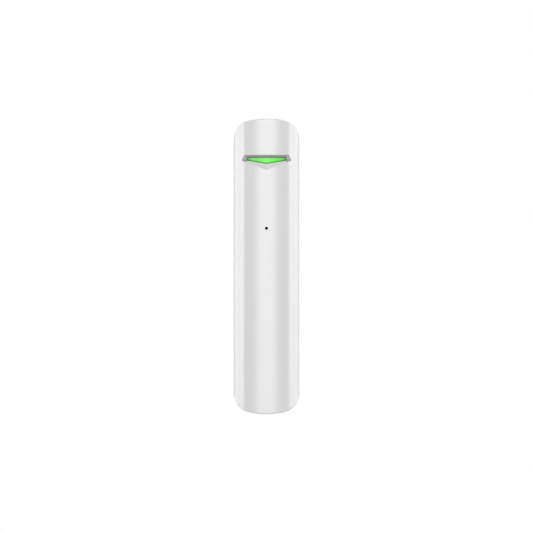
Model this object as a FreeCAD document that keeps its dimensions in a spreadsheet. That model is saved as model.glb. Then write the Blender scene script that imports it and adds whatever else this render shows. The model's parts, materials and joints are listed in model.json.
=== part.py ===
import FreeCAD, Part
import math
import os
import re
import Sketcher

# Glass break sensor hung on its wall bracket
# Lengths are in millimetres. +X is to the right, -Y points out of the wall and +Z is up.
# The origin is the middle of the bracket's wall face. Depth means distance out from that face.

SIZES = {
    # outer form
    "case_width": 20.0,
    "case_height": 90.0,
    "end_radius": 25.0,
    "corner_radius": 6.0,
    "front_bulge": 0.3,
    "edge_radius": 0.4,
    "wall": 1.2,
    # bracket plate and its gaps
    "plate_thickness": 1.7,
    "plate_gap": 0.2,
    "plate_inset": 0.2,
    "plate_bevel": 0.3,
    # rear cover and its catches
    "cover_thickness": 1.0,
    "cover_clearance": 0.1,
    "catch_share": 0.2222,
    "catch_length": 5.0,
    "catch_reach": 0.45,
    "catch_thickness": 0.5,
    "catch_clearance": 0.1,
    # hooks and slide
    "hook_low_rise": 15.0,
    "hook_high_share": 0.3333,
    "hook_inset": 2.2,
    "hook_stem": 1.5,
    "hook_lip": 0.8,
    "hook_bevel": 0.4,
    "hook_clearance": 0.2,
    "lip_clearance": 0.1,
    "slide_travel": 4.0,
    "release_clearance": 0.6,
    # wall screws
    "screw_hole_radius": 1.7,
    "screw_sink": 1.2,
    "screw_spacing": 44.0,
    "tab_screw_drop": 10.0,
    # break-away tab
    "tab_inset": 4.5,
    "tab_below": 14.5,
    "tab_above": 7.5,
    "tab_slit": 0.7,
    "tab_bridge": 1.0,
    # tamper button and the ramp it rests on
    "tamper_share": 0.0833,
    "button_radius": 1.6,
    "button_bevel": 1.0,
    "button_clearance": 0.3,
    "button_gap": 0.1,
    "ramp_lead": 0.9,
    "ramp_slope": 0.15,
    "ramp_half_width": 1.7,
    "switch_depth": 3.5,
    "tamper_half_width": 3.0,
    "bore_clearance": 0.1,
    "bore_depth": 2.5,
    "button_entry": 1.5,
    # power switch
    "power_share": 0.1722,
    "power_half_width": 4.3,
    "power_half_height": 1.8,
    "lever_half": 0.8,
    "lever_travel": 2.0,
    "lever_entry": 1.2,
    "lever_slot_depth": 1.5,
    "lever_sink": 0.3,
    "lever_clearance": 0.1,
    "window_clearance": 0.4,
    # indicator recess, measured from the top of the case and from its sides
    "recess_drop": 11.1,
    "recess_tip_inset": 2.4,
    "recess_top_inset": 3.25,
    "recess_side_run": 0.95,
    "recess_side_drop": 1.85,
    "recess_lip_drop": 4.6,
    "recess_fall": 1.75,
    # grey frame and the light guide behind it
    "bezel_thickness": 0.6,
    "bezel_land": 0.2,
    "bezel_margin": 0.6,
    "bezel_clearance": 0.05,
    "window_inset": 4.1,
    "window_top_drop": 0.6,
    "window_valley_drop": 2.8,
    "window_slope": 0.163,
    "guide_sink": 0.15,
    "guide_flange": 0.5,
    "guide_half_height": 1.1,
    "guide_foot_half": 1.6,
    "seat_lip": 0.8,
    # circuit board, its ledges and its posts
    "board_thickness": 1.0,
    "board_clearance": 0.25,
    "board_gap": 0.2,
    "ledge_width": 0.9,
    "ledge_thickness": 1.5,
    "ledge_rise": 1.2,
    "ledge_drop": 9.0,
    "post_radius": 1.1,
    "post_inset": 1.9,
    "post_rise": 4.7,
    "post_drop": 7.5,
    "peg_radius": 0.6,
    "peg_clearance": 0.05,
    "peg_reach": 0.5,
    # status light
    "led_half_width": 1.6,
    "led_half_height": 1.4,
    "led_thickness": 1.0,
    "led_lens": 0.15,
    "led_lens_radius": 1.1,
    "led_gap": 0.2,
    # microphone
    "sound_share": 0.12833,
    "sound_hole": 0.46,
    "boot_radius": 4.0,
    "channel_radius": 0.6,
    "capsule_radius": 3.0,
    "capsule_thickness": 2.7,
    "capsule_front": 5.0,
    "filter_radius": 1.5,
    "filter_thickness": 0.15,
    "lead_radius": 0.25,
    "lead_across": 1.27,
    "lead_clearance": 0.1,
    "lead_stub": 0.6,
    # battery and its chamber
    "cell_room": 0.3,
    "battery_length": 33.5,
    "nub_radius": 3.25,
    "nub_length": 1.0,
    "battery_bevel": 0.6,
    "end_room": 2.5,
    "spring_length": 2.8,
    "spring_half_width": 2.5,
    "spring_reach": 4.5,
    "spring_foot": 1.5,
    "spring_droop": 1.2,
    "strip": 0.3,
    "bulkhead": 1.2,
    "bulkhead_inset": 2.3,
    "bulkhead_past": 4.5,
    "end_wall": 0.8,
    "end_inset": 5.6,
    "end_past": 6.0,
    "plate_margin": 0.5,
    "cradle_gap": 0.1,
    "cradle_inset": 1.7,
    "cradle_width": 2.6,
    "cradle_thickness": 1.2,
    "cradle_low": 2.6,
    "cradle_middle": 17.9,
    "cradle_high": 28.4,
    "tongue_half_width": 3.0,
    "leg_half_width": 1.5,
    "leg_rise": 2.2,
    "leg_clearance": 0.1,
    "return_inset": 1.5,
    "return_width": 1.0,
    "return_lift": 0.05,
    # parts on the board
    "side_part_share": 0.49,
    "shield_inset": 3.3,
    "shield_share": 0.3333,
    "shield_half_height": 5.5,
    "shield_depth": 2.2,
    "shield_sheet": 0.2,
    "radio_half": 2.0,
    "chip_thickness": 0.9,
    "control_half": 2.5,
    "control_share": 0.2278,
    "audio_half": 2.0,
    "audio_share": 0.2944,
    "crystal_half_width": 1.6,
    "crystal_half_height": 1.25,
    "crystal_thickness": 0.7,
    "capacitor_half_width": 1.4,
    "capacitor_half_height": 1.75,
    "capacitor_thickness": 1.9,
    "capacitor_tab": 0.3,
    "aerial_drop": 4.0,
    "aerial_half_height": 0.6,
    "aerial_inset": 2.8,
    "aerial_rise": 5.0,
    "aerial_sheet": 0.3,
    "aerial_leg": 0.9,
    "aerial_feed": 3.2,
    "socket_share": 0.2311,
    "socket_half_width": 3.7,
    "socket_half_height": 1.9,
    "socket_depth": 5.0,
    "socket_wall": 0.6,
    "socket_base": 1.5,
    "pin_half": 0.32,
    "pin_across": 1.27,
    "pin_reach": 3.0,
    # how far cutting shapes run past what they cut
    "spare": 1.0,
}

document = FreeCAD.newDocument("glass_break_sensor")
sheet = document.addObject("Spreadsheet::Sheet", "Dims")
for row, (name, value) in enumerate(SIZES.items(), 1):
    sheet.set(f"A{row}", name)
    sheet.set(f"B{row}", str(value))
    sheet.setAlias(f"B{row}", name)
document.recompute()

ALIAS = re.compile(r"\b(" + "|".join(sorted(SIZES, key=len, reverse=True)) + r")\b")
PLANES = {"depth": "XZ_Plane", "height": "XY_Plane", "side": "YZ_Plane"}


def full(text):
    return ALIAS.sub(r"Dims.\1", str(text))


def number(text):
    value = sheet.evalExpression(full(text))
    return float(getattr(value, "Value", value))


# Widths and depths that follow from the sizes
HALF = "(case_width / 2)"
INNER = "(case_width / 2 - wall)"
CELL_RADIUS = f"({INNER} - cell_room)"
FRONT_ROUND = f"({HALF} + front_bulge)"
INNER_ROUND = f"({FRONT_ROUND} - wall)"
COVER_FACE = "(plate_thickness + plate_gap)"
COVER_INSIDE = f"({COVER_FACE} + cover_thickness)"
AXIS = f"({COVER_INSIDE} + cradle_gap + {CELL_RADIUS})"
FRONT = f"({AXIS} + {HALF})"
PAST_FRONT = f"({FRONT} + spare)"
FRONT_AXIS = f"({FRONT} - {FRONT_ROUND})"
BOARD_BACK = f"({AXIS} - board_thickness / 2)"
BOARD_FRONT = f"({AXIS} + board_thickness / 2)"
RECESS_TIP = f"({HALF} - recess_tip_inset)"
RECESS_TOP_HALF = f"({HALF} - recess_top_inset)"
RECESS_DEPTH = f"({FRONT_ROUND} - sqrt({FRONT_ROUND} ^ 2 - {RECESS_TIP} ^ 2))"
RECESS_BACK = f"({FRONT} - {RECESS_DEPTH})"
BEZEL_HALF = f"({RECESS_TIP} - bezel_land)"
BEZEL_BACK = f"({RECESS_BACK} - bezel_thickness)"
WINDOW_HALF = f"({HALF} - window_inset)"
GUIDE_BACK = f"({BEZEL_BACK} - guide_flange)"
SEAT_BACK = f"({GUIDE_BACK} - seat_lip)"
LED_FRONT = f"({BOARD_FRONT} + led_thickness)"
CAPSULE_FRONT = f"({BOARD_FRONT} + capsule_front)"
CAPSULE_BACK = f"({CAPSULE_FRONT} - capsule_thickness)"
SWITCH_BACK = f"({BOARD_BACK} - switch_depth)"
BUTTON_TIP = "(plate_thickness - ramp_slope * ramp_lead + button_gap)"
LIP_BACK = f"({COVER_INSIDE} + plate_gap)"
LIP_FRONT = f"({LIP_BACK} + hook_lip)"
LIP_TO_AXIS = f"({AXIS} - {LIP_FRONT} - lip_clearance)"
HOOK_INNER = f"(sqrt({CELL_RADIUS} ^ 2 - {LIP_TO_AXIS} ^ 2) + hook_clearance)"
HOOK_OUTER = f"({INNER} - hook_inset)"
LIP_LENGTH = "(slide_travel - release_clearance)"
TAB_HALF = f"({HALF} - tab_inset)"
STRIP_BACK = f"({COVER_INSIDE} + return_lift)"
RETURN_INNER = f"({INNER} - return_inset)"
RETURN_OUTER = f"({RETURN_INNER} + return_width)"
CATCH_LOW = f"({COVER_INSIDE} - catch_thickness)"
POST_ACROSS = f"({INNER} - post_inset)"
CRADLE_OUTER = f"({INNER} - cradle_inset)"
CRADLE_INNER = f"({CRADLE_OUTER} - cradle_width)"
END_HALF = f"({HALF} - end_inset)"
END_DEPTH = f"({AXIS} + end_past)"
PLATE_HALF = f"({END_HALF} - plate_margin)"
SHIELD_HALF = f"({INNER} - shield_inset)"
AERIAL_HALF = f"({INNER} - aerial_inset)"
SIDE_PART = f"(side_part_share * {HALF})"

# Heights that follow from the sizes: the battery stands on the lower end, the board on the battery's chamber
CASE_TOP = "(case_height / 2)"
PLATE_BOTTOM = f"(end_room - {CASE_TOP})"
PLATE_TOP = f"({PLATE_BOTTOM} + strip)"
CELL_BOTTOM = f"({PLATE_TOP} + spring_length)"
CELL_TOP = f"({CELL_BOTTOM} + battery_length)"
NUB_TOP = f"({CELL_TOP} + nub_length)"
BULKHEAD_BOTTOM = f"({NUB_TOP} + strip)"
BULKHEAD_TOP = f"({BULKHEAD_BOTTOM} + bulkhead)"
BOARD_BOTTOM = f"({BULKHEAD_TOP} + board_gap)"
LEG_TOP = f"({BOARD_BOTTOM} + leg_rise)"
RECESS_TOP = f"({CASE_TOP} - recess_drop)"
RECESS_LIP = f"({RECESS_TOP} - recess_lip_drop)"
RECESS_VALLEY = f"({RECESS_LIP} + recess_fall)"
WINDOW_TOP = f"({RECESS_TOP} - window_top_drop)"
WINDOW_VALLEY = f"({RECESS_TOP} - window_valley_drop)"
LED_HEIGHT = f"(({WINDOW_TOP} + {WINDOW_VALLEY}) / 2)"
BEZEL_LOW = f"({RECESS_VALLEY} - bezel_margin)"
BEZEL_HIGH = f"({RECESS_TOP} + bezel_margin)"
SOUND = "(sound_share * case_height)"
TAMPER = "(tamper_share * case_height)"
POWER = "(power_share * case_height)"
SOCKET = "(socket_share * case_height)"
CONTROL = "(control_share * case_height)"
AUDIO = "(audio_share * case_height)"
SHIELD = "(shield_share * case_height)"
AERIAL = f"({CASE_TOP} - aerial_drop)"
RAMP_START = f"({TAMPER} - button_radius + button_bevel - ramp_lead)"
HOOK_HEIGHTS = ("(hook_high_share * case_height)", f"(hook_low_rise - {CASE_TOP})")
CATCH_HEIGHTS = ("(catch_share * case_height)", "(-catch_share * case_height)")
POST_HEIGHTS = (f"({BOARD_BOTTOM} + post_rise)", f"({CASE_TOP} - post_drop)")


def new_body(name):
    body = document.addObject("PartDesign::Body", name)
    body.Label = name
    return body


def new_sketch(body, along, level):
    sketch = body.newObject("Sketcher::SketchObject", "Sketch")
    plane = [item for item in body.Origin.OriginFeatures if item.Role == PLANES[along]][0]
    sketch.AttachmentSupport = [(plane, "")]
    sketch.MapMode = "FlatFace"
    sketch.setExpression("AttachmentOffset.Base.z", full(level))
    return sketch


def limit(sketch, kind, references, text):
    index = sketch.addConstraint(Sketcher.Constraint(kind, *references, number(text)))
    sketch.setExpression(f"Constraints[{index}]", full(text))


def pin(sketch, shape, point, across, up):
    limit(sketch, "DistanceX", (-1, 1, shape, point), across)
    limit(sketch, "DistanceY", (-1, 1, shape, point), up)


def spot(across, up):
    return FreeCAD.Vector(number(across), number(up), 0)


def line(sketch, start, end):
    return sketch.addGeometry(Part.LineSegment(start, end), False)


def arc(sketch, centre, radius, start, end):
    round_form = Part.Circle(centre, FreeCAD.Vector(0, 0, 1), radius)
    return sketch.addGeometry(Part.ArcOfCircle(round_form, start, end), False)


def join(sketch, first, first_end, second, second_end):
    sketch.addConstraint(Sketcher.Constraint("Coincident", first, first_end, second, second_end))


def polygon(sketch, corners):
    places = [spot(across, up) for across, up in corners]
    lines = [line(sketch, a, b) for a, b in zip(places, places[1:] + places[:1])]
    for index, (across, up) in enumerate(corners):
        join(sketch, lines[index - 1], 2, lines[index], 1)
        pin(sketch, lines[index], 1, across, up)


def rectangle(sketch, left, right, bottom, top):
    polygon(sketch, [(left, bottom), (right, bottom), (right, top), (left, top)])


def circle(sketch, across, up, radius):
    form = Part.Circle(spot(across, up), FreeCAD.Vector(0, 0, 1), number(radius))
    shape = sketch.addGeometry(form, False)
    pin(sketch, shape, 3, across, up)
    limit(sketch, "Radius", (shape,), radius)


def outline(sketch, inset):
    """The front view of the case, two straight sides and two bowed ends, drawn smaller by the inset."""
    half, tall = f"({HALF} - {inset})", f"(case_height / 2 - {inset})"
    end, corner = f"(end_radius - {inset})", f"(corner_radius - {inset})"
    a, top, big, small = number(half), number(tall), number(end), number(corner)
    lean = math.asin((a - small) / (big - small))
    side = top - big + (big - small) * math.cos(lean)
    up, flat, down = math.pi / 2, math.pi, 3 * math.pi / 2
    place = FreeCAD.Vector
    shapes = [
        line(sketch, place(a, -side, 0), place(a, side, 0)),
        arc(sketch, place(a - small, side, 0), small, 0, up - lean),
        arc(sketch, place(0, top - big, 0), big, up - lean, up + lean),
        arc(sketch, place(small - a, side, 0), small, up + lean, flat),
        line(sketch, place(-a, side, 0), place(-a, -side, 0)),
        arc(sketch, place(small - a, -side, 0), small, flat, down - lean),
        arc(sketch, place(0, big - top, 0), big, down - lean, down + lean),
        arc(sketch, place(a - small, -side, 0), small, down + lean, 2 * flat),
    ]
    for before, after in zip(shapes, shapes[1:] + shapes[:1]):
        sketch.addConstraint(Sketcher.Constraint("Tangent", before, 2, after, 1))
    for side_line, across in ((shapes[0], half), (shapes[4], f"-{half}")):
        sketch.addConstraint(Sketcher.Constraint("Vertical", side_line))
        limit(sketch, "DistanceX", (-1, 1, side_line, 1), across)
    for bow, height in ((shapes[2], f"{tall} - {end}"), (shapes[6], f"{end} - {tall}")):
        sketch.addConstraint(Sketcher.Constraint("PointOnObject", bow, 3, -2))
        limit(sketch, "DistanceY", (-1, 1, bow, 3), height)
        limit(sketch, "Radius", (bow,), end)
    for index in (1, 3, 5, 7):
        limit(sketch, "Radius", (shapes[index],), corner)


def arch(sketch, radius, back):
    """The case seen from above, straight sides from the back and a half round front."""
    corners = [
        (f"-{radius}", f"-{back}"),
        (radius, f"-{back}"),
        (radius, f"-{FRONT_AXIS}"),
        (f"-{radius}", f"-{FRONT_AXIS}"),
    ]
    places = [spot(across, up) for across, up in corners]
    base = line(sketch, places[0], places[1])
    right = line(sketch, places[1], places[2])
    left = line(sketch, places[3], places[0])
    centre = FreeCAD.Vector(0, places[2].y, 0)
    front = arc(sketch, centre, number(radius), math.pi, 2 * math.pi)
    join(sketch, base, 2, right, 1)
    join(sketch, right, 2, front, 2)
    join(sketch, front, 1, left, 1)
    join(sketch, left, 2, base, 1)
    pin(sketch, base, 1, *corners[0])
    pin(sketch, base, 2, *corners[1])
    pin(sketch, right, 2, *corners[2])
    pin(sketch, left, 1, *corners[3])
    limit(sketch, "DistanceY", (-1, 1, front, 3), corners[2][1])


def cradle(sketch, side):
    """One battery rest seen from above, hollowed to the round of the cell."""
    reach = f"({CELL_RADIUS} + cradle_gap)"
    near, far = (f"{side} * {CRADLE_INNER}", f"{side} * {CRADLE_OUTER}")
    bottom = f"-({COVER_INSIDE} - cover_thickness / 2)"
    tips = [f"-({AXIS} - sqrt({reach} ^ 2 - {x} ^ 2))" for x in (CRADLE_INNER, CRADLE_OUTER)]
    ends = sorted([spot(near, tips[0]), spot(far, tips[1])], key=lambda place: place.x)
    centre = FreeCAD.Vector(0, -number(AXIS), 0)
    angles = [math.atan2(place.y - centre.y, place.x) for place in ends]
    left_x, right_x = sorted((near, far), key=number)
    bow = arc(sketch, centre, number(reach), angles[1], angles[0])
    left = line(sketch, spot(left_x, bottom), ends[0])
    right = line(sketch, ends[1], spot(right_x, bottom))
    base = line(sketch, spot(right_x, bottom), spot(left_x, bottom))
    join(sketch, left, 2, bow, 2)
    join(sketch, bow, 1, right, 1)
    join(sketch, right, 2, base, 1)
    join(sketch, base, 2, left, 1)
    for side_line in (left, right):
        sketch.addConstraint(Sketcher.Constraint("Vertical", side_line))
    pin(sketch, base, 1, right_x, bottom)
    pin(sketch, base, 2, left_x, bottom)
    pin(sketch, bow, 3, "0", f"-{AXIS}")
    limit(sketch, "Radius", (bow,), reach)


def add(body, along, low, high, draw):
    sketch = new_sketch(body, along, low)
    draw(sketch)
    pad = body.newObject("PartDesign::Pad", "Pad")
    pad.Profile = sketch
    pad.setExpression("Length", full(f"({high}) - ({low})"))
    body.Tip = pad
    return pad


def cut(body, along, low, high, draw):
    sketch = new_sketch(body, along, high)
    draw(sketch)
    pocket = body.newObject("PartDesign::Pocket", "Pocket")
    pocket.Profile = sketch
    pocket.setExpression("Length", full(f"({high}) - ({low})"))
    body.Tip = pocket
    return pocket


def block(body, across, depth, height, make=add):
    return make(body, "depth", *depth, lambda sketch: rectangle(sketch, *across, *height))


def peg(body, across, height, radius, depth, make=add):
    return make(body, "depth", *depth, lambda sketch: circle(sketch, across, height, radius))


def upright(body, radius, low, high, make=add):
    """A round standing on the battery's axis."""
    return make(body, "height", low, high, lambda sketch: circle(sketch, "0", f"-{AXIS}", radius))


def both_ways(text):
    return (f"-({text})", f"({text})")


def around(middle, reach):
    return (f"({middle}) - ({reach})", f"({middle}) + ({reach})")


def dress(body, kind, size, wanted):
    document.recompute()
    base = body.Tip
    names = [f"Edge{n}" for n, edge in enumerate(base.Shape.Edges, 1) if wanted(edge)]
    feature = body.newObject(f"PartDesign::{kind}", kind)
    feature.Base = (base, names)
    feature.setExpression("Radius" if kind == "Fillet" else "Size", full(size))
    body.Tip = feature


def near(value, text):
    return math.isclose(value, number(text), abs_tol=1e-4)


def flat_at(edge, text):
    """True for an edge that lies wholly at one depth."""
    box = edge.BoundBox
    return near(-box.YMin, text) and near(-box.YMax, text)


def is_front_edge(edge):
    """True for the edges that run round the front of the case's lower half."""
    box = edge.BoundBox
    return -box.YMax > number(FRONT_AXIS) + number("edge_radius") and box.ZMin < -number(HALF)


def outside_of(sketch, inset):
    rectangle(sketch, *both_ways(f"{FRONT_ROUND} + spare"), *both_ways(f"{CASE_TOP} + 2 * spare"))
    outline(sketch, inset)


def case_form(body, radius, inset, back, rounding=None):
    """The outer or inner form of the case, made as the lower half and mirrored upward."""
    low = "-(case_height / 2 + spare)"
    add(body, "height", low, "0", lambda sketch: arch(sketch, radius, back))
    cut(body, "depth", f"{back} - spare", PAST_FRONT, lambda sketch: outside_of(sketch, inset))
    if rounding:
        dress(body, "Fillet", rounding, is_front_edge)
    mirrored = body.newObject("PartDesign::Mirrored", "Mirrored")
    middle = [item for item in body.Origin.OriginFeatures if item.Role == PLANES["height"]][0]
    mirrored.TransformMode = "Whole shape"
    mirrored.MirrorPlane = (middle, [""])
    mirrored.Refine = True
    body.Tip = mirrored


# Hollow of the case, less the recess box and the board ledges that are moulded in it
hollow = new_body("case_hollow")
case_form(hollow, INNER_ROUND, "wall", f"({COVER_FACE} - spare)")
box_depth = (SEAT_BACK, PAST_FRONT)
box_height = (f"{RECESS_LIP} - wall", f"{BEZEL_HIGH} + wall")
block(hollow, both_ways(f"{HALF} + spare"), box_depth, box_height, cut)
ledge_depth = (BOARD_FRONT, f"{BOARD_FRONT} + ledge_thickness")
ledge_start = f"({INNER} - ledge_width)"
ledge_height = (f"{BOARD_BOTTOM} + ledge_rise", f"{CASE_TOP} - ledge_drop")
for across in ((ledge_start, HALF), (f"-{HALF}", f"-{ledge_start}")):
    block(hollow, across, ledge_depth, ledge_height, cut)
for side in (1, -1):
    for height in CATCH_HEIGHTS:
        groove = sorted((f"{side} * ({INNER} - spare)", f"{side} * ({INNER} + catch_reach)"), key=number)
        reach = (CATCH_LOW + " - catch_clearance", COVER_INSIDE)
        block(hollow, groove, reach, around(height, "catch_length / 2 + catch_clearance"))

# Front case
case = new_body("front_case")
case_form(case, FRONT_ROUND, "0", COVER_FACE, "edge_radius")
hollowed = case.newObject("PartDesign::Boolean", "Hollowed")
hollowed.setObjects([hollow])
hollowed.Type = "Cut"
case.Tip = hollowed


def recess_corners(past):
    """Corners of the indicator recess where it is a given distance in front of its back face."""
    valley = f"({RECESS_VALLEY} - ({past}) * recess_fall / {RECESS_DEPTH})"
    tip = (f"({RECESS_TOP_HALF} + recess_side_run)", f"({RECESS_TOP} - recess_side_drop)")
    return [
        (f"-{RECESS_TOP_HALF}", RECESS_TOP),
        (f"-{tip[0]}", tip[1]),
        ("0", valley),
        tip,
        (RECESS_TOP_HALF, RECESS_TOP),
    ]


front_past = f"({RECESS_DEPTH} + spare / 2)"
recess_sketches = []
for past in ("0", front_past):
    recess_sketch = new_sketch(case, "depth", f"{RECESS_BACK} + {past}")
    polygon(recess_sketch, recess_corners(past))
    recess_sketches.append(recess_sketch)
recess = case.newObject("PartDesign::SubtractiveLoft", "Recess")
recess.Profile = recess_sketches[0]
recess.Sections = [recess_sketches[1]]
recess.Ruled = True
case.Tip = recess
seat_across = both_ways(f"{BEZEL_HALF} + bezel_clearance")
seat_height = (f"{BEZEL_LOW} - bezel_clearance", f"{BEZEL_HIGH} + bezel_clearance")
block(case, seat_across, (SEAT_BACK, RECESS_BACK), seat_height, cut)
peg(case, "0", SOUND, "sound_hole", (AXIS, PAST_FRONT), cut)


def window(sketch, inset):
    """The lit V, a straight top, upright ends and a shallow V below."""
    half = f"({WINDOW_HALF} - {inset})"
    top, valley = f"({WINDOW_TOP} - {inset})", f"({WINDOW_VALLEY} + {inset})"
    side = f"({valley} + {half} * window_slope)"
    polygon(sketch, [(f"-{half}", top), (f"-{half}", side), ("0", valley), (half, side), (half, top)])


bezel = new_body("indicator_bezel")
block(bezel, both_ways(BEZEL_HALF), (BEZEL_BACK, RECESS_BACK), (BEZEL_LOW, BEZEL_HIGH))
cut(bezel, "depth", BEZEL_BACK, RECESS_BACK, lambda sketch: window(sketch, "0"))

guide = new_body("light_guide")
block(guide, both_ways(BEZEL_HALF), (GUIDE_BACK, BEZEL_BACK), (BEZEL_LOW, BEZEL_HIGH))
guide_front = f"({RECESS_BACK} - guide_sink)"
add(guide, "depth", BEZEL_BACK, guide_front, lambda sketch: window(sketch, "bezel_clearance"))
guide_foot = f"({LED_FRONT} + led_gap)"
fan = [
    ("-guide_foot_half", f"-{guide_foot}"),
    (f"-{WINDOW_HALF}", f"-{GUIDE_BACK}"),
    (WINDOW_HALF, f"-{GUIDE_BACK}"),
    ("guide_foot_half", f"-{guide_foot}"),
]
add(guide, "height", *around(LED_HEIGHT, "guide_half_height"), lambda sketch: polygon(sketch, fan))

# Wall bracket
bracket = new_body("mounting_bracket")
add(bracket, "depth", "0", "plate_thickness", lambda sketch: outline(sketch, "plate_inset"))
dress(bracket, "Chamfer", "plate_bevel", lambda edge: flat_at(edge, "plate_thickness"))
embed = "plate_thickness / 2"
for side in (1, -1):
    for height in HOOK_HEIGHTS:
        profile = [
            (f"-({embed})", f"{height} - hook_stem"),
            (f"-{LIP_FRONT}", f"{height} - hook_stem"),
            (f"-{LIP_FRONT}", f"{height} + {LIP_LENGTH} - hook_bevel"),
            (f"-({LIP_BACK} + hook_bevel)", f"{height} + {LIP_LENGTH}"),
            (f"-{LIP_BACK}", f"{height} + {LIP_LENGTH}"),
            (f"-{LIP_BACK}", height),
            (f"-({embed})", height),
        ]
        reach = sorted((f"{side} * {HOOK_INNER}", f"{side} * {HOOK_OUTER}"), key=number)
        add(bracket, "side", *reach, lambda sketch: polygon(sketch, profile))
        core = (height, f"{height} + {LIP_LENGTH} + hook_clearance")
        block(bracket, reach, ("0", "plate_thickness"), core, cut)
screw_heights = ("screw_spacing / 2", "-screw_spacing / 2", f"{TAMPER} - tab_screw_drop")
for height in screw_heights:
    peg(bracket, "0", height, "screw_hole_radius", ("0", "plate_thickness"), cut)
dress(
    bracket,
    "Chamfer",
    "screw_sink",
    lambda edge: flat_at(edge, "plate_thickness")
    and isinstance(edge.Curve, Part.Circle)
    and near(edge.Curve.Radius, "screw_hole_radius"),
)
tab_bottom, tab_top = f"({TAMPER} - tab_below)", f"({TAMPER} + tab_above)"
slit_out = f"({TAB_HALF} + tab_slit)"
tab_middle = f"(({tab_bottom} + {tab_top}) / 2)"
slit_heights = (
    (tab_bottom, f"{tab_middle} - tab_bridge / 2"),
    (f"{tab_middle} + tab_bridge / 2", tab_top),
)
for across in ((TAB_HALF, slit_out), (f"-{slit_out}", f"-{TAB_HALF}")):
    for slit_height in slit_heights:
        block(bracket, across, ("0", "plate_thickness"), slit_height, cut)
for slit_height in ((f"{tab_bottom} - tab_slit", tab_bottom), (tab_top, f"{tab_top} + tab_slit")):
    slit_across = both_ways(f"{TAB_HALF} - tab_bridge")
    block(bracket, slit_across, ("0", "plate_thickness"), slit_height, cut)
ramp_end = f"({TAMPER} + slide_travel + button_radius + hook_clearance)"
ramp = [
    ("-plate_thickness", RAMP_START),
    (f"-(plate_thickness - ramp_slope * ({ramp_end} - {RAMP_START}))", ramp_end),
    ("-plate_thickness", ramp_end),
]
cut(bracket, "side", *both_ways("ramp_half_width"), lambda sketch: polygon(sketch, ramp))

# Circuit board
board = new_body("circuit_board")
board_inset = "(wall + board_clearance)"
add(board, "depth", BOARD_BACK, BOARD_FRONT, lambda sketch: outline(sketch, board_inset))
lower_end = (f"-({CASE_TOP} + spare)", BOARD_BOTTOM)
block(board, both_ways(f"{HALF} + spare"), (BOARD_BACK, BOARD_FRONT), lower_end, cut)
posts = [(x, z) for x in both_ways(POST_ACROSS) for z in POST_HEIGHTS]
for across, height in posts:
    peg(board, across, height, "peg_radius + peg_clearance", (BOARD_BACK, BOARD_FRONT), cut)
for across in ("lead_across", "-lead_across"):
    peg(board, across, SOUND, "lead_radius + lead_clearance", (BOARD_BACK, BOARD_FRONT), cut)

# Rear cover with its posts, battery rests and end walls
cover = new_body("rear_cover")
cover_inset = "(wall + cover_clearance)"
add(cover, "depth", COVER_FACE, COVER_INSIDE, lambda sketch: outline(sketch, cover_inset))
for side in (1, -1):
    for height in CATCH_HEIGHTS:
        edge_start = f"{side} * ({INNER} - cover_clearance - spare)"
        edge_end = f"{side} * ({INNER} + catch_reach - catch_clearance)"
        reach = sorted((edge_start, edge_end), key=number)
        block(cover, reach, (CATCH_LOW, COVER_INSIDE), around(height, "catch_length / 2"))
for across, height in posts:
    peg(cover, across, height, "post_radius", (f"{COVER_INSIDE} - cover_thickness / 2", BOARD_BACK))
    peg(cover, across, height, "peg_radius", (f"{BOARD_BACK} - spare", f"{BOARD_FRONT} + peg_reach"))
for side in (1, -1):
    for rise in ("cradle_low", "cradle_middle", "cradle_high"):
        span = around(f"{CELL_BOTTOM} + {rise}", "cradle_thickness / 2")
        add(cover, "height", *span, lambda sketch: cradle(sketch, side))
wall_root = f"{COVER_INSIDE} - cover_thickness / 2"
bulkhead_height = (BULKHEAD_BOTTOM, BULKHEAD_TOP)
bulkhead_depth = (wall_root, f"{AXIS} + bulkhead_past")
block(cover, both_ways(f"{INNER} - bulkhead_inset"), bulkhead_depth, bulkhead_height)
leg_slot = (f"{BOARD_FRONT} - leg_clearance", f"{BOARD_FRONT} + strip + leg_clearance")
leg_gap = both_ways("leg_half_width + leg_clearance")
block(cover, leg_gap, leg_slot, (f"{BULKHEAD_BOTTOM} - spare", f"{BULKHEAD_TOP} + spare"), cut)
end_height = (f"{PLATE_BOTTOM} - end_wall", PLATE_BOTTOM)
block(cover, both_ways(END_HALF), (wall_root, END_DEPTH), end_height)
cover_depth = (COVER_FACE, COVER_INSIDE)
for side in (1, -1):
    for height in HOOK_HEIGHTS:
        slot_start = f"{side} * ({HOOK_INNER} - hook_clearance)"
        slot_end = f"{side} * ({HOOK_OUTER} + hook_clearance)"
        reach = sorted((slot_start, slot_end), key=number)
        block(cover, reach, cover_depth, (f"{height} - hook_stem - slide_travel", height), cut)
peg(cover, "0", TAMPER, "button_radius + button_clearance", cover_depth, cut)
lever_reach = "(lever_travel / 2 + lever_half + window_clearance)"
lever_rise = around(POWER, "lever_half + window_clearance")
block(cover, both_ways(lever_reach), cover_depth, lever_rise, cut)
socket_gap = around(SOCKET, "socket_half_height + window_clearance")
block(cover, both_ways("socket_half_width + window_clearance"), cover_depth, socket_gap, cut)

# Status light, microphone and its rubber boot
led = new_body("status_led")
led_rise = around(LED_HEIGHT, "led_half_height")
block(led, both_ways("led_half_width"), (BOARD_FRONT, f"{LED_FRONT} - led_lens"), led_rise)
peg(led, "0", LED_HEIGHT, "led_lens_radius", (f"{LED_FRONT} - led_lens", LED_FRONT))

microphone = new_body("microphone")
peg(microphone, "0", SOUND, "capsule_radius", (CAPSULE_BACK, CAPSULE_FRONT))
for across in ("lead_across", "-lead_across"):
    lead_depth = (f"{BOARD_BACK} - lead_stub", f"{CAPSULE_BACK} + capsule_thickness / 2")
    peg(microphone, across, SOUND, "lead_radius", lead_depth)

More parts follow.
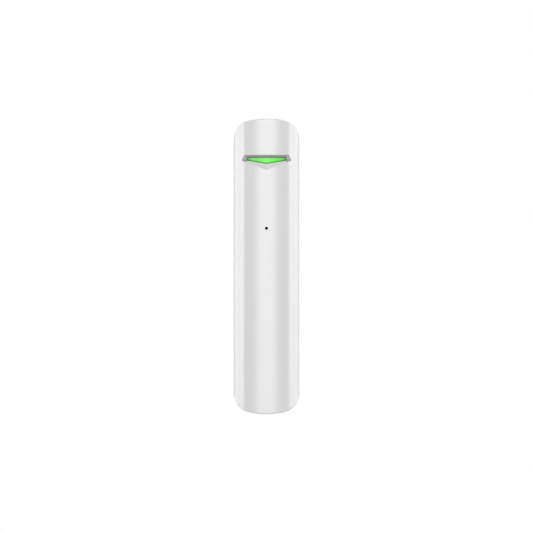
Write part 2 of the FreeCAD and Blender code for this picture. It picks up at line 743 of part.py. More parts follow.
boot = new_body("microphone_boot")
peg(boot, "0", SOUND, "boot_radius", (BOARD_FRONT, FRONT))
peg(boot, "0", SOUND, "capsule_radius", (BOARD_FRONT, CAPSULE_FRONT), cut)
filter_depth = (CAPSULE_FRONT, f"{CAPSULE_FRONT} + filter_thickness")
peg(boot, "0", SOUND, "filter_radius", filter_depth, cut)
peg(boot, "0", SOUND, "channel_radius", (CAPSULE_FRONT, PAST_FRONT), cut)


def outside_round(sketch):
    behind = f"-({FRONT_AXIS} - {FRONT_ROUND})"
    rectangle(sketch, *both_ways(f"{HALF} + spare"), f"-{PAST_FRONT}", behind)
    circle(sketch, "0", f"-{FRONT_AXIS}", INNER_ROUND)


cut(boot, "height", *around(SOUND, "boot_radius + spare"), outside_round)

filter_disc = new_body("dust_filter")
peg(filter_disc, "0", SOUND, "filter_radius", filter_depth)

# Battery and its contacts
battery = new_body("battery")
upright(battery, CELL_RADIUS, CELL_BOTTOM, CELL_TOP)
dress(
    battery,
    "Chamfer",
    "battery_bevel",
    lambda edge: isinstance(edge.Curve, Part.Circle),
)
upright(battery, "nub_radius", f"{CELL_TOP} - nub_length", NUB_TOP)

spring = new_body("battery_spring")
leaf = [
    ("-spring_reach", PLATE_TOP),
    ("-spring_reach + spring_foot", PLATE_TOP),
    ("0", f"{CELL_BOTTOM} - strip"),
    ("spring_foot", f"{CELL_BOTTOM} - strip"),
    ("spring_reach", f"{CELL_BOTTOM} - strip - spring_droop"),
]
below = [(f"-({AXIS} + {along})", height) for along, height in leaf]
above = [(across, f"{height} + strip") for across, height in reversed(below)]
leaf_side = both_ways("spring_half_width")
add(spring, "side", *leaf_side, lambda sketch: polygon(sketch, below + above))

minus = new_body("negative_contact")
plate_depth = (STRIP_BACK, END_DEPTH)
block(minus, both_ways(PLATE_HALF), plate_depth, (PLATE_BOTTOM, PLATE_TOP))
return_path = [
    (f"-{PLATE_HALF}", PLATE_BOTTOM),
    (f"-{PLATE_HALF} / 2", PLATE_BOTTOM),
    (f"-{PLATE_HALF} / 2", f"{PLATE_TOP} + return_width"),
    (f"-{RETURN_INNER}", f"{PLATE_TOP} + 4 * return_width"),
    (f"-{RETURN_INNER}", LEG_TOP),
    (f"-{RETURN_OUTER}", LEG_TOP),
    (f"-{RETURN_OUTER}", f"{PLATE_TOP} + 3 * return_width"),
    (f"-{PLATE_HALF}", f"{PLATE_TOP} + return_width / 2"),
]
strip_depth = (STRIP_BACK, f"{STRIP_BACK} + strip")
add(minus, "depth", *strip_depth, lambda sketch: polygon(sketch, return_path))
leg_across = (f"-{RETURN_OUTER}", f"-{RETURN_INNER}")
block(minus, leg_across, (STRIP_BACK, BOARD_BACK), (f"{LEG_TOP} - return_width", LEG_TOP))

plus = new_body("positive_contact")
tongue_depth = around(AXIS, "tongue_half_width")
block(plus, both_ways("tongue_half_width"), tongue_depth, (NUB_TOP, BULKHEAD_BOTTOM))
leg_depth = (BOARD_FRONT, f"{BOARD_FRONT} + strip")
block(plus, both_ways("leg_half_width"), leg_depth, (NUB_TOP, LEG_TOP))

# Tamper switch, its button, the power switch and its lever
tamper = new_body("tamper_switch")
switch_span = (SWITCH_BACK, BOARD_BACK)
tamper_rise = around(TAMPER, "tamper_half_width")
block(tamper, both_ways("tamper_half_width"), switch_span, tamper_rise)
bore_span = (SWITCH_BACK, f"{SWITCH_BACK} + bore_depth")
peg(tamper, "0", TAMPER, "button_radius + bore_clearance", bore_span, cut)

button = new_body("tamper_button")
button_span = (BUTTON_TIP, f"{SWITCH_BACK} + button_entry")
peg(button, "0", TAMPER, "button_radius", button_span)
dress(button, "Chamfer", "button_bevel", lambda edge: flat_at(edge, BUTTON_TIP))

power = new_body("power_switch")
power_rise = around(POWER, "power_half_height")
block(power, both_ways("power_half_width"), switch_span, power_rise)
slot_across = both_ways("lever_travel / 2 + lever_half + lever_clearance")
slot_rise = around(POWER, "lever_half + lever_clearance")
block(power, slot_across, (SWITCH_BACK, f"{SWITCH_BACK} + lever_slot_depth"), slot_rise, cut)

lever = new_body("power_switch_lever")
lever_span = (f"{COVER_FACE} + lever_sink", f"{SWITCH_BACK} + lever_entry")
lever_across = around("-lever_travel / 2", "lever_half")
block(lever, lever_across, lever_span, around(POWER, "lever_half"))

# Socket for an outside contact
socket = new_body("sensor_socket")
socket_rise = around(SOCKET, "socket_half_height")
socket_span = (f"{BOARD_BACK} - socket_depth", BOARD_BACK)
block(socket, both_ways("socket_half_width"), socket_span, socket_rise)
socket_room = around(SOCKET, "socket_half_height - socket_wall")
room_span = (f"{BOARD_BACK} - socket_depth", f"{BOARD_BACK} - socket_base")
block(socket, both_ways("socket_half_width - socket_wall"), room_span, socket_room, cut)
for name, across in (("socket_pin_left", "-pin_across"), ("socket_pin_right", "pin_across")):
    pin_across = around(across, "pin_half")
    pin_rise = around(SOCKET, "pin_half")
    block(socket, pin_across, (f"{BOARD_BACK} - socket_base", BOARD_BACK), pin_rise, cut)
    contact = new_body(name)
    block(contact, pin_across, (f"{BOARD_BACK} - socket_base - pin_reach", BOARD_BACK), pin_rise)

# Radio, processors and the other parts soldered to the board
shield = new_body("radio_shield")
shield_span = (f"{BOARD_BACK} - shield_depth", BOARD_BACK)
block(shield, both_ways(SHIELD_HALF), shield_span, around(SHIELD, "shield_half_height"))
under = (f"{BOARD_BACK} - shield_depth + shield_sheet", BOARD_BACK)
under_rise = around(SHIELD, "shield_half_height - shield_sheet")
block(shield, both_ways(f"{SHIELD_HALF} - shield_sheet"), under, under_rise, cut)
chips = (
    ("radio_chip", "radio_half", SHIELD, (f"{BOARD_BACK} - chip_thickness", BOARD_BACK)),
    ("control_chip", "control_half", CONTROL, (BOARD_FRONT, f"{BOARD_FRONT} + chip_thickness")),
    ("audio_chip", "audio_half", AUDIO, (BOARD_FRONT, f"{BOARD_FRONT} + chip_thickness")),
)
for name, half, height, span in chips:
    block(new_body(name), both_ways(half), span, around(height, half))
crystal = new_body("crystal")
crystal_span = (BOARD_FRONT, f"{BOARD_FRONT} + crystal_thickness")
crystal_rise = around(CONTROL, "crystal_half_height")
block(crystal, around(f"-({SIDE_PART})", "crystal_half_width"), crystal_span, crystal_rise)

capacitor = new_body("buffer_capacitor")
capacitor_rise = around(CONTROL, "capacitor_half_height")
capacitor_span = (f"{BOARD_FRONT} + capacitor_tab", f"{BOARD_FRONT} + capacitor_thickness")
capacitor_across = around(SIDE_PART, "capacitor_half_width")
block(capacitor, capacitor_across, capacitor_span, capacitor_rise)
tab_across = around(SIDE_PART, "capacitor_half_width - capacitor_tab")
tab_rise = around(CONTROL, "capacitor_half_height + capacitor_tab")
block(capacitor, tab_across, (BOARD_FRONT, f"{BOARD_FRONT} + 2 * capacitor_tab"), tab_rise)

aerial = new_body("antenna")
aerial_rise = around(AERIAL, "aerial_half_height")
aerial_face = f"({BOARD_BACK} - aerial_rise)"
bar_span = (aerial_face, f"{aerial_face} + aerial_sheet")
block(aerial, both_ways(AERIAL_HALF), bar_span, aerial_rise)
ground = (f"-{AERIAL_HALF}", f"-{AERIAL_HALF} + aerial_leg")
feed = (f"-{AERIAL_HALF} + aerial_feed", f"-{AERIAL_HALF} + aerial_feed + aerial_leg")
for across in (ground, feed):
    block(aerial, across, (aerial_face, BOARD_BACK), aerial_rise)

document.recompute()
os.makedirs("parts", exist_ok=True)
for item in document.Objects:
    if "Invalid" in item.State or "Error" in item.State:
        raise RuntimeError(f"{item.Name} did not compute")
for body in document.findObjects("PartDesign::Body"):
    if body.Label == "case_hollow":
        continue
    if body.Shape.isNull() or not body.Shape.isValid() or len(body.Shape.Solids) != 1:
        raise RuntimeError(f"{body.Label} is not one valid solid")
    body.Shape.exportStep(f"parts/{body.Label}.step")
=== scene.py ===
"""Looks of a slim wall sensor: white moulded case, lit V-shaped indicator, slide-on wall bracket."""
import json
import math

import bpy
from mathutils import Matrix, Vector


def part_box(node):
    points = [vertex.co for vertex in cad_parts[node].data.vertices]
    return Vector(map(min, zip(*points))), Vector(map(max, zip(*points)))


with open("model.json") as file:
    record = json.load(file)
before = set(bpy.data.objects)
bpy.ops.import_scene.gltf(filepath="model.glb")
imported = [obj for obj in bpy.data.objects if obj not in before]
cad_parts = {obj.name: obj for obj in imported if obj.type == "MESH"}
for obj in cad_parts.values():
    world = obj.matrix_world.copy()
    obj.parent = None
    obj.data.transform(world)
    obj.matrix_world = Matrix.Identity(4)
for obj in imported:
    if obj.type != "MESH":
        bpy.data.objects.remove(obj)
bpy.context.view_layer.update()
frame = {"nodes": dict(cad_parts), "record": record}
MM = 0.001

# Places on the sensor, in metres
WIDEST_PLANE = -11.5 * MM  # where the round front meets the flat sides
FRONT_RADIUS = 10.3 * MM
RECESS_LOW, RECESS_HIGH, RECESS_DEEP = 29.0 * MM, 34.2 * MM, 4.2 * MM
SOUND_HEIGHT, SOUND_RADIUS = 11.55 * MM, 0.47 * MM
BEZEL_FOOT_LOW, BEZEL_FOOT_HIGH = 32.2 * MM, 32.7 * MM
WINDOW_HALF, WINDOW_TOP, WINDOW_TIP = 5.9 * MM, 33.3 * MM, 32.8 * MM
# The window's lower edge is a shallow V: its lowest height, and its rise to each side
WINDOW_VALLEY, WINDOW_SLOPE = 31.1 * MM, 0.163

# Camera: straight in front, from far away, as the photograph shows the sensor
CAMERA_DISTANCE = 5.0
CAMERA_DROP = 0.08 * MM
FRAME_WIDTH = 162.4 * MM  # what the picture takes in at the sensor's widest plane
FILM_WIDTH = 36.0


def add_camera():
    low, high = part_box("front_case")
    middle = (low + high) / 2
    data = bpy.data.cameras.new("front_camera")
    data.sensor_width = FILM_WIDTH
    data.lens = FILM_WIDTH * CAMERA_DISTANCE / FRAME_WIDTH
    data.clip_start = 0.01
    data.clip_end = 4 * CAMERA_DISTANCE
    camera = bpy.data.objects.new("front_camera", data)
    camera.location = (middle.x, WIDEST_PLANE - CAMERA_DISTANCE, middle.z - CAMERA_DROP)
    camera.rotation_euler = (math.radians(90), 0, 0)
    bpy.context.scene.collection.objects.link(camera)
    bpy.context.scene.camera = camera


# Node helpers
SOCKETS = {
    "specular": "Specular IOR Level",
    "coat": "Coat Weight",
}


def grey(value):
    return (value, value, value)


class Shader:
    """A Principled material with its node tree at hand."""

    def __init__(self, name, colour, rough, metal=0.0, **more):
        self.material = bpy.data.materials.new(name)
        self.material.use_nodes = True
        self.tree = self.material.node_tree
        self.surface = self.tree.nodes["Principled BSDF"]
        self.set("Base Color", (*colour, 1))
        self.set("Roughness", rough)
        self.set("Metallic", metal)
        for socket, value in more.items():
            self.set(SOCKETS[socket], value)
        self.coordinates = self.node("ShaderNodeTexCoord").outputs["Object"]

    def set(self, socket, value):
        self.surface.inputs[socket].default_value = value

    def node(self, kind, **settings):
        made = self.tree.nodes.new(kind)
        for key, value in settings.items():
            setattr(made, key, value)
        return made

    def link(self, source, target):
        self.tree.links.new(source, target)

    def into(self, source, socket):
        self.link(source, self.surface.inputs[socket])

    def source_of(self, socket):
        return self.surface.inputs[socket].links[0].from_socket

    def axis(self, name):
        made = self.node("ShaderNodeSeparateXYZ")
        self.link(self.coordinates, made.inputs[0])
        return made.outputs[name]

    def stretched(self, scale):
        """Object coordinates with each axis scaled by itself."""
        made = self.node("ShaderNodeVectorMath", operation="MULTIPLY")
        self.link(self.coordinates, made.inputs[0])
        made.inputs[1].default_value = scale
        return made.outputs[0]

    def maths(self, operation, first, second=None):
        made = self.node("ShaderNodeMath", operation=operation)
        for socket, value in zip(made.inputs, (first, second)):
            if value is None:
                continue
            if isinstance(value, (int, float)):
                socket.default_value = value
            else:
                self.link(value, socket)
        return made.outputs[0]

    def product(self, *factors):
        total = factors[0]
        for factor in factors[1:]:
            total = self.maths("MULTIPLY", total, factor)
        return total

    def distance(self, across, up):
        """How far a place is from where both across and up are nothing."""
        squares = [self.maths("POWER", leg, 2.0) for leg in (across, up)]
        return self.maths("SQRT", self.maths("ADD", *squares))

    def spread(self, source, low, high, from_low=0.3, from_high=0.7, smooth=False):
        """Maps from_low..from_high of the source to low..high."""
        kind = "SMOOTHSTEP" if smooth else "LINEAR"
        made = self.node("ShaderNodeMapRange", interpolation_type=kind)
        self.link(source, made.inputs["Value"])
        made.inputs["From Min"].default_value = from_low
        made.inputs["From Max"].default_value = from_high
        made.inputs["To Min"].default_value = low
        made.inputs["To Max"].default_value = high
        return made.outputs["Result"]

    def fade(self, source, start, end, smooth=True):
        """One where the source is under start, nothing where it is over end."""
        return self.spread(source, 1, 0, from_low=start, from_high=end, smooth=smooth)

    def ramp(self, source, stops):
        made = self.node("ShaderNodeValToRGB")
        band = made.color_ramp
        while len(band.elements) < len(stops):
            band.elements.new(0.5)
        for element, (place, colour) in zip(band.elements, stops):
            element.position = place
            element.color = (*colour, 1)
        self.link(source, made.inputs["Fac"])
        return made.outputs["Color"]

    def mix(self, amount, first, second):
        made = self.node("ShaderNodeMix", data_type="RGBA")
        self.link(amount, made.inputs["Factor"])
        for socket, value in ((made.inputs["A"], first), (made.inputs["B"], second)):
            if isinstance(value, tuple):
                socket.default_value = (*value, 1)
            else:
                self.link(value, socket)
        return made.outputs["Result"]

    def noise(self, size, detail=3.0, source=None):
        """Noise whose features are about `size` millimetres across."""
        made = self.node("ShaderNodeTexNoise")
        made.inputs["Scale"].default_value = 1 / (size * MM)
        made.inputs["Detail"].default_value = detail
        self.link(source or self.coordinates, made.inputs["Vector"])
        return made.outputs["Fac"]

    def cells(self, size):
        """Distance from the middle of cells about `size` millimetres across."""
        made = self.node("ShaderNodeTexVoronoi", feature="F1")
        made.inputs["Scale"].default_value = 1 / (size * MM)
        self.link(self.coordinates, made.inputs["Vector"])
        return made.outputs["Distance"]

    def bump(self, height, depth, under=None):
        """Relief `depth` millimetres deep, laid over the one under it."""
        made = self.node("ShaderNodeBump")
        made.inputs["Distance"].default_value = depth * MM
        made.inputs["Strength"].default_value = 1.0
        self.link(height, made.inputs["Height"])
        if under is not None:
            self.link(under, made.inputs["Normal"])
        self.into(made.outputs["Normal"], "Normal")
        return made.outputs["Normal"]


# Kinds of finish
def moulded(name, colour, rough, grain, depth, tone, **more):
    """Moulded plastic: faint flow tone, fine grain and a slightly uneven gloss."""
    flow_size, flow_stretch = 14.0, (1.0, 1.0, 0.35)
    gloss_swing, wave_size, wave_depth = 0.03, 9, 2.5
    look = Shader(name, colour, rough, **more)
    darker = tuple(c * (1 - tone) for c in colour)
    lighter = tuple(min(1.0, c * (1 + tone / 2)) for c in colour)
    flow = look.noise(flow_size, detail=2.0, source=look.stretched(flow_stretch))
    look.into(look.mix(look.spread(flow, 0, 1), darker, lighter), "Base Color")
    fine = look.noise(grain)
    look.into(look.spread(fine, rough - gloss_swing, rough + gloss_swing), "Roughness")
    wave = look.bump(look.noise(grain * wave_size, detail=1.0), depth * wave_depth)
    look.bump(fine, depth, under=wave)
    return look


def metal(name, colour, rough, along=(1.0, 1.0, 0.06)):
    """Drawn or rolled sheet: long fine streaks and a cloudy tone."""
    streak_size, streak_depth, smoother, rougher = 0.12, 0.004, 0.08, 0.1
    cloud_size, cloud_tone = 3.0, 0.86
    look = Shader(name, colour, rough, metal=1.0)
    streaks = look.noise(streak_size, detail=4.0, source=look.stretched(along))
    clouds = look.noise(cloud_size, detail=2.0)
    dark = tuple(c * cloud_tone for c in colour)
    look.into(look.mix(look.spread(clouds, 0, 1), dark, colour), "Base Color")
    look.into(look.spread(streaks, rough - smoother, rough + rougher), "Roughness")
    look.bump(streaks, streak_depth)
    return look


# The pieces with a look of their own
def case_look():
    """Satin white case, with painted light making the walls of the recess paler and painted shade making
    the wall of the sound hole dark.
    """
    # The paler recess white is painted light and the near black of the sound hole is painted shade; the
    # case plastic itself is one white.
    white, recess_painted_light, hole_painted_shade = grey(0.80), grey(0.95), grey(0.05)
    skin_inner, skin_outer = FRONT_RADIUS - 0.16 * MM, FRONT_RADIUS - 0.06 * MM
    look = moulded("case_white", white, 0.25, grain=0.16, depth=0.0012, tone=0.01, specular=1.0)
    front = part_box("front_case")[0].y
    x, y, z = look.axis("X"), look.axis("Y"), look.axis("Z")
    from_axis = look.distance(x, look.maths("SUBTRACT", y, front + FRONT_RADIUS))
    # Painted light: the walls of the recess take a paler white than the case, standing in for light that
    # the recess keeps off them.
    in_recess = look.product(
        look.fade(from_axis, skin_inner, skin_outer, smooth=False),
        look.maths("LESS_THAN", y, front + RECESS_DEEP),
        look.maths("GREATER_THAN", z, RECESS_LOW),
        look.maths("LESS_THAN", z, RECESS_HIGH),
    )
    walls = look.mix(in_recess, look.source_of("Base Color"), recess_painted_light)
    # Painted shade: the wall of the sound hole is coloured near black, standing in for the light the hole
    # traps.
    from_hole = look.distance(x, look.maths("SUBTRACT", z, SOUND_HEIGHT))
    in_hole = look.maths("LESS_THAN", from_hole, SOUND_RADIUS)
    look.into(look.mix(in_hole, walls, hole_painted_shade), "Base Color")
    return look


def back_look(name):
    """Matt white of the two pieces at the back."""
    return moulded(name, grey(0.76), 0.5, grain=0.22, depth=0.006, tone=0.02)


def above_valley(look, across, up):
    """Height above the window's lower edge."""
    edge = look.maths("ADD", look.maths("MULTIPLY", across, WINDOW_SLOPE), WINDOW_VALLEY)
    return look.maths("SUBTRACT", up, edge)


def bezel_look():
    """Grey frame of the window: painted shade darker at its foot, a painted shadow line round the window,
    and a pale lip under it that is in part painted light.
    """
    frame_grey, foot_painted_shade, shadow_line_grey = (0.46, 0.462, 0.458), (0.35, 0.352, 0.348), (0.24, 0.25, 0.235)
    painted_lip_white = grey(0.78)
    line_lean = 0.25  # how far the line's two sides stand out for each millimetre down
    look = moulded("bezel_grey", frame_grey, 0.48, grain=0.12, depth=0.004, tone=0.03)
    across, up = look.maths("ABSOLUTE", look.axis("X")), look.axis("Z")
    # Painted shade: the bezel darkens towards its foot, standing in for the shade at the bottom of the
    # recess.
    foot = look.fade(up, BEZEL_FOOT_LOW, BEZEL_FOOT_HIGH)
    body = look.mix(foot, look.source_of("Base Color"), foot_painted_shade)
    # Painted shadow: a dark line along the window's top and sides, standing in for the shadow in the gap
    # round the window.
    lean = look.maths("MULTIPLY", look.maths("SUBTRACT", WINDOW_TOP, up), line_lean)
    beside = look.maths("SUBTRACT", across, look.maths("ADD", lean, WINDOW_HALF))
    above = look.maths("SUBTRACT", up, WINDOW_TOP)
    line = look.fade(look.maths("MAXIMUM", beside, above), 0.06 * MM, 0.28 * MM)
    # Painted light in part: the bezel's lowest strip takes a pale white so it reads as the lit white wall
    # below the window.
    lip = look.product(
        look.fade(above_valley(look, across, up), -0.04 * MM, 0.02 * MM),
        look.maths("LESS_THAN", across, WINDOW_HALF),
    )
    look.into(look.mix(lip, look.mix(line, body, shadow_line_grey), painted_lip_white), "Base Color")
    return look


def guide_look():
    """Clear moulding lit green: brightest before its light, a dark rim that is in part painted shadow,
    pointed ends, and a pale lip below that is a painted reflection.
    """
    painted_lip_white = grey(0.50)
    stray_glow = grey(0.55)  # what the window throws on the walls round it, where green hardly shows
    look = Shader("guide_green", (0.03, 0.08, 0.025), 0.5, specular=0.2)
    across, up = look.maths("ABSOLUTE", look.axis("X")), look.axis("Z")
    outwards = look.maths("DIVIDE", across, WINDOW_HALF)
    core = look.ramp(outwards, [
        (0.0, (0.26, 0.87, 0.19)),
        (0.30, (0.18, 0.83, 0.13)),
        (0.70, (0.16, 0.72, 0.115)),
        (1.0, (0.10, 0.40, 0.08)),
    ])
    # Painted shadow in part: the dark rim stands for the glow fading at the moulding's edges and for the
    # shadow of the bezel and the recess's top on it.
    rim = look.ramp(outwards, [
        (0.2, (0.055, 0.19, 0.045)),
        (0.6, (0.02, 0.125, 0.012)),
    ])
    from_valley = above_valley(look, across, up)
    from_tip = look.maths("ABSOLUTE", look.maths("SUBTRACT", up, WINDOW_TIP))
    from_end = look.maths("SUBTRACT", look.maths("SUBTRACT", WINDOW_HALF, across), from_tip)
    # Distance from each edge, with the millimetres where the rim ends and where the full glow starts
    edges = [
        (look.maths("SUBTRACT", WINDOW_TOP, up), 0.10, 0.52),
        (from_valley, 0.17, 0.56),
        (from_end, -0.3, 0.5),
    ]
    lit = look.product(*(
        look.spread(distance, 0, 1, from_low=dark * MM, from_high=clear * MM, smooth=True)
        for distance, dark, clear in edges
    ))
    # Painted reflection: a pale strip that glows at the window's lower edge, standing in for the pale wall
    # reflected in the clear moulding.
    lip = look.fade(from_valley, 0.03 * MM, 0.07 * MM)
    glow = look.mix(lip, look.mix(lit, rim, core), painted_lip_white)
    path = look.node("ShaderNodeLightPath")
    bounced = look.maths("MAXIMUM", path.outputs["Is Diffuse Ray"], path.outputs["Is Glossy Ray"])
    look.into(look.mix(bounced, glow, stray_glow), "Emission Color")
    look.into(look.spread(look.noise(0.9, detail=2.0), 0.94, 1.0), "Emission Strength")
    look.bump(look.noise(0.3, detail=2.0), depth=0.003)
    look.material.cycles.emission_sampling = "NONE"
    return look


def board_look():
    """Green solder mask over lighter tracks, with small plated holes."""
    mask_green, track_green, plating = (0.018, 0.15, 0.055), (0.05, 0.27, 0.10), (0.62, 0.50, 0.22)
    look = Shader("board_green", (0.02, 0.16, 0.06), 0.35)
    tracks = look.node("ShaderNodeTexBrick", offset=0.37, squash=1.6)
    for socket, value in {
        "Color1": (1, 1, 1, 1),
        "Color2": (0.7, 0.7, 0.7, 1),
        "Mortar": (0, 0, 0, 1),
        "Scale": 420,
        "Mortar Size": 0.06,
    }.items():
        tracks.inputs[socket].default_value = value
    upright = look.node("ShaderNodeMapping")
    upright.inputs["Rotation"].default_value = (math.radians(90), 0, 0)
    look.link(look.coordinates, upright.inputs["Vector"])
    look.link(upright.outputs["Vector"], tracks.inputs["Vector"])
    copper = look.maths("SUBTRACT", 1.0, tracks.outputs["Color"])
    holes = look.fade(look.cells(2.6), 0.10, 0.14, smooth=False)
    look.into(look.mix(holes, look.mix(copper, mask_green, track_green), plating), "Base Color")
    look.into(look.spread(look.noise(0.6), 0.28, 0.42), "Roughness")
    look.bump(look.maths("SUBTRACT", copper, holes), depth=0.02)
    return look


def battery_look():
    """Plain wrapped cell: blue sleeve with one pale band and no words, bare steel at both ends."""
    sleeve_blue, band_white, steel = (0.05, 0.14, 0.40), (0.78, 0.78, 0.76), (0.62, 0.62, 0.6)
    bare_end, cap_height = 1.0 * MM, 1.0 * MM
    band_height, band_half = 26 * MM, 3.0 * MM
    soft_edge = 0.1 * MM
    low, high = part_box("battery")
    look = Shader("cell_sleeve", (0.06, 0.16, 0.42), 0.35, coat=0.4)
    up = look.axis("Z")
    from_low = look.maths("SUBTRACT", up, low.z)
    from_high = look.maths("SUBTRACT", high.z - cap_height, up)
    from_end = look.maths("MINIMUM", from_low, from_high)
    bare = look.fade(from_end, bare_end - soft_edge, bare_end, smooth=False)
    from_band = look.maths("ABSOLUTE", look.maths("SUBTRACT", from_low, band_height))
    band = look.fade(from_band, band_half - soft_edge, band_half, smooth=False)
    look.into(look.mix(bare, look.mix(band, sleeve_blue, band_white), steel), "Base Color")
    look.into(bare, "Metallic")
    wrinkle = look.noise(1.4, source=look.stretched((1.0, 1.0, 0.3)))
    look.into(look.spread(wrinkle, 0.27, 0.42), "Roughness")
    look.bump(wrinkle, depth=0.03)
    return look


def cloth_look():
    """Close black weave of the dust filter behind the sound hole."""
    look = Shader("filter_cloth", grey(0.01), 0.9, specular=0.0)
    weave = []
    for direction in ("X", "Z"):
        wave = look.node("ShaderNodeTexWave", bands_direction=direction)
        wave.inputs["Scale"].default_value = 3200
        wave.inputs["Distortion"].default_value = 1.0
        look.link(look.coordinates, wave.inputs["Vector"])
        weave.append(wave.outputs["Fac"])
    height = look.maths("MAXIMUM", *weave)
    look.into(look.ramp(height, [(0.2, grey(0.003)), (1.0, grey(0.012))]), "Base Color")
    look.bump(height, depth=0.05)
    return look


def led_look():
    """White package with a clear lens that glows green."""
    package_white, lens_green, lens_glow = (0.74, 0.74, 0.68), (0.45, 0.92, 0.34), (0.30, 0.95, 0.2)
    look = Shader("led_resin", (0.72, 0.78, 0.62), 0.3, coat=0.5)
    low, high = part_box("status_led")
    up = look.maths("SUBTRACT", look.axis("Z"), (low.z + high.z) / 2)
    lens = look.fade(look.distance(look.axis("X"), up), 0.5 * MM, 1.1 * MM)
    look.into(look.mix(lens, package_white, lens_green), "Base Color")
    look.into(look.mix(lens, grey(0.0), lens_glow), "Emission Color")
    look.set("Emission Strength", 1.0)
    look.bump(look.noise(0.2), depth=0.004)
    return look


# What each material slot of the record looks like
def dress_nodes():
    nickel, brass = (0.66, 0.65, 0.62), (0.78, 0.60, 0.27)
    chip_black, ochre = (0.028, 0.028, 0.031), (0.56, 0.33, 0.06)
    button_white, ivory = (0.68, 0.68, 0.65), (0.70, 0.67, 0.56)
    looks = {
        "case_plastic": case_look(),
        "cover_plastic": back_look("cover_white"),
        "bracket_plastic": back_look("bracket_white"),
        "bezel_plastic": bezel_look(),
        "guide_plastic": guide_look(),
        "board_laminate": board_look(),
        "led_resin": led_look(),
        "cell_sleeve": battery_look(),
        "filter_cloth": cloth_look(),
        "nickel_steel": metal("nickel_sheet", nickel, 0.3),
        "aerial_brass": metal("aerial_brass", brass, 0.26, along=(0.06, 1.0, 1.0)),
        "boot_rubber": moulded("boot_rubber", grey(0.03), 0.68, grain=0.3, depth=0.01, tone=0.2),
        "chip_resin": moulded("chip_resin", chip_black, 0.55, grain=0.08, depth=0.006, tone=0.25),
        "capacitor_resin": moulded("capacitor_ochre", ochre, 0.45, grain=0.15, depth=0.006, tone=0.06),
        "switch_plastic": moulded("switch_black", grey(0.035), 0.45, grain=0.2, depth=0.008, tone=0.15),
        "button_plastic": moulded("button_white", button_white, 0.4, grain=0.2, depth=0.006, tone=0.03),
        "socket_plastic": moulded("socket_ivory", ivory, 0.42, grain=0.2, depth=0.006, tone=0.03),
    }
    slots = {part["node"]: part["material_slot"] for part in frame["record"]["subparts"]}
    for name, node in frame["nodes"].items():
        node.data.materials.clear()
        node.data.materials.append(looks[slots[name]].material)


# Stage: a plain pale floor, soft boxes and a white world
FLOOR_RADIUS, FLOOR_DROP, FLOOR_SIDES = 1.0, 0.10, 128
FLOOR_GLOW = 0.30  # shows to the eye and in reflections only, so a pale floor throws little light up
FILL_LIGHT = 0.17
REACH = 1.2  # metres from the sensor to each soft box
# turn from straight in front, lift and half the width in degrees, half the height in metres
SOFT_BOXES = {
    "front_core": {"turn": 0, "lift": 0, "half_angle": 24, "half_height": 0.25, "radiance": 2.75},
    "front_wing": {"turn": 30, "lift": 0, "half_angle": 6, "half_height": 0.25, "radiance": 1.7},
    "side_strip": {"turn": 90, "lift": 0, "half_angle": 6, "half_height": 0.25, "radiance": 3.7},
    "side_near": {"turn": 102, "lift": 0, "half_angle": 6, "half_height": 0.25, "radiance": 2.0},
    "side_far": {"turn": 121, "lift": 0, "half_angle": 13, "half_height": 0.25, "radiance": 2.25},
    "back_box": {"turn": 180, "lift": 0, "half_angle": 16, "half_height": 0.40, "radiance": 3.5},
    "top_box": {"turn": 0, "lift": 90, "half_angle": 14, "half_height": 0.30, "radiance": 1.5},
    "high_front": {"turn": 0, "lift": 40, "half_angle": 32, "half_height": 0.36, "radiance": 1.55},
    "high_back": {"turn": 180, "lift": 40, "half_angle": 32, "half_height": 0.36, "radiance": 1.9},
}


def seen_rays(tree):
    """One for the eye, for reflections and through clear pieces; nothing for the light on the sensor."""
    path = tree.nodes.new("ShaderNodeLightPath")
    seen = path.outputs["Is Camera Ray"]
    for ray in ("Is Glossy Ray", "Is Transmission Ray"):
        either = tree.nodes.new("ShaderNodeMath")
        either.operation = "MAXIMUM"
        tree.links.new(seen, either.inputs[0])
        tree.links.new(path.outputs[ray], either.inputs[1])
        seen = either.outputs[0]
    return seen


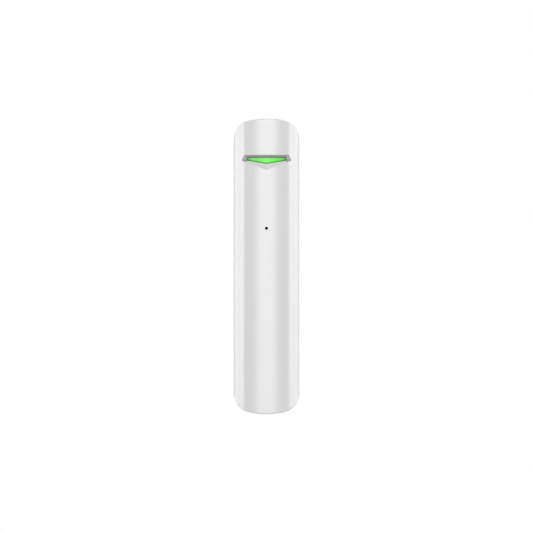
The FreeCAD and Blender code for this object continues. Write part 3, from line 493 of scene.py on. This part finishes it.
def add_floor():
    """A wide pale disc some way under the sensor, which keeps the sensor's shadow."""
    turns = [2 * math.pi * side / FLOOR_SIDES for side in range(FLOOR_SIDES)]
    rim = [(FLOOR_RADIUS * math.cos(turn), FLOOR_RADIUS * math.sin(turn), -FLOOR_DROP) for turn in turns]
    mesh = bpy.data.meshes.new("floor")
    mesh.from_pydata(rim, [], [range(FLOOR_SIDES)])
    floor = bpy.data.objects.new("floor", mesh)
    bpy.context.scene.collection.objects.link(floor)
    look = Shader("floor_pale", grey(0.65), 0.9, specular=0.0)
    clouds = look.noise(60.0, detail=2.0)
    look.into(look.ramp(clouds, [(0.3, grey(0.64)), (0.7, grey(0.66))]), "Base Color")
    look.set("Emission Color", (1, 1, 1, 1))
    look.into(look.maths("MULTIPLY", seen_rays(look.tree), FLOOR_GLOW), "Emission Strength")
    mesh.materials.append(look.material)


def add_softbox(name, side, turn, lift, half_angle, half_height, radiance):
    """A soft box that faces the sensor; turn goes round the sensor to the given side, lift goes up."""
    data = bpy.data.lights.new(name, "AREA")
    data.shape = "RECTANGLE"
    data.size = 2 * REACH * math.tan(math.radians(half_angle))
    data.size_y = 2 * half_height
    data.energy = radiance * data.size * data.size_y * math.pi
    box = bpy.data.objects.new(name, data)
    turn, lift = math.radians(side * turn), math.radians(lift)
    flat = REACH * math.cos(lift)
    box.location = (flat * math.sin(turn), -flat * math.cos(turn), REACH * math.sin(lift))
    box.rotation_euler = (-box.location).to_track_quat("-Z", "Y").to_euler()
    box.visible_camera = False
    bpy.context.scene.collection.objects.link(box)


def add_lights():
    """One box where it stands straight in front, behind or above, and a left and right pair elsewhere."""
    for name, box in SOFT_BOXES.items():
        sides = (1,) if box["turn"] in (0, 180) else (-1, 1)
        for side in sides:
            add_softbox(name, side, **box)


def add_world():
    """White to the eye and in reflections, a low even fill for everything else."""
    world = bpy.data.worlds.new("studio")
    world.use_nodes = True
    tree = world.node_tree
    background = tree.nodes["Background"]
    strength = tree.nodes.new("ShaderNodeMapRange")
    strength.inputs["To Min"].default_value = FILL_LIGHT
    strength.inputs["To Max"].default_value = 1.0
    tree.links.new(seen_rays(tree), strength.inputs["Value"])
    tree.links.new(strength.outputs["Result"], background.inputs["Strength"])
    background.inputs["Color"].default_value = (1, 1, 1, 1)
    bpy.context.scene.world = world


add_camera()
bpy.context.scene.view_settings.view_transform = "Standard"
dress_nodes()
add_floor()
add_lights()
add_world()
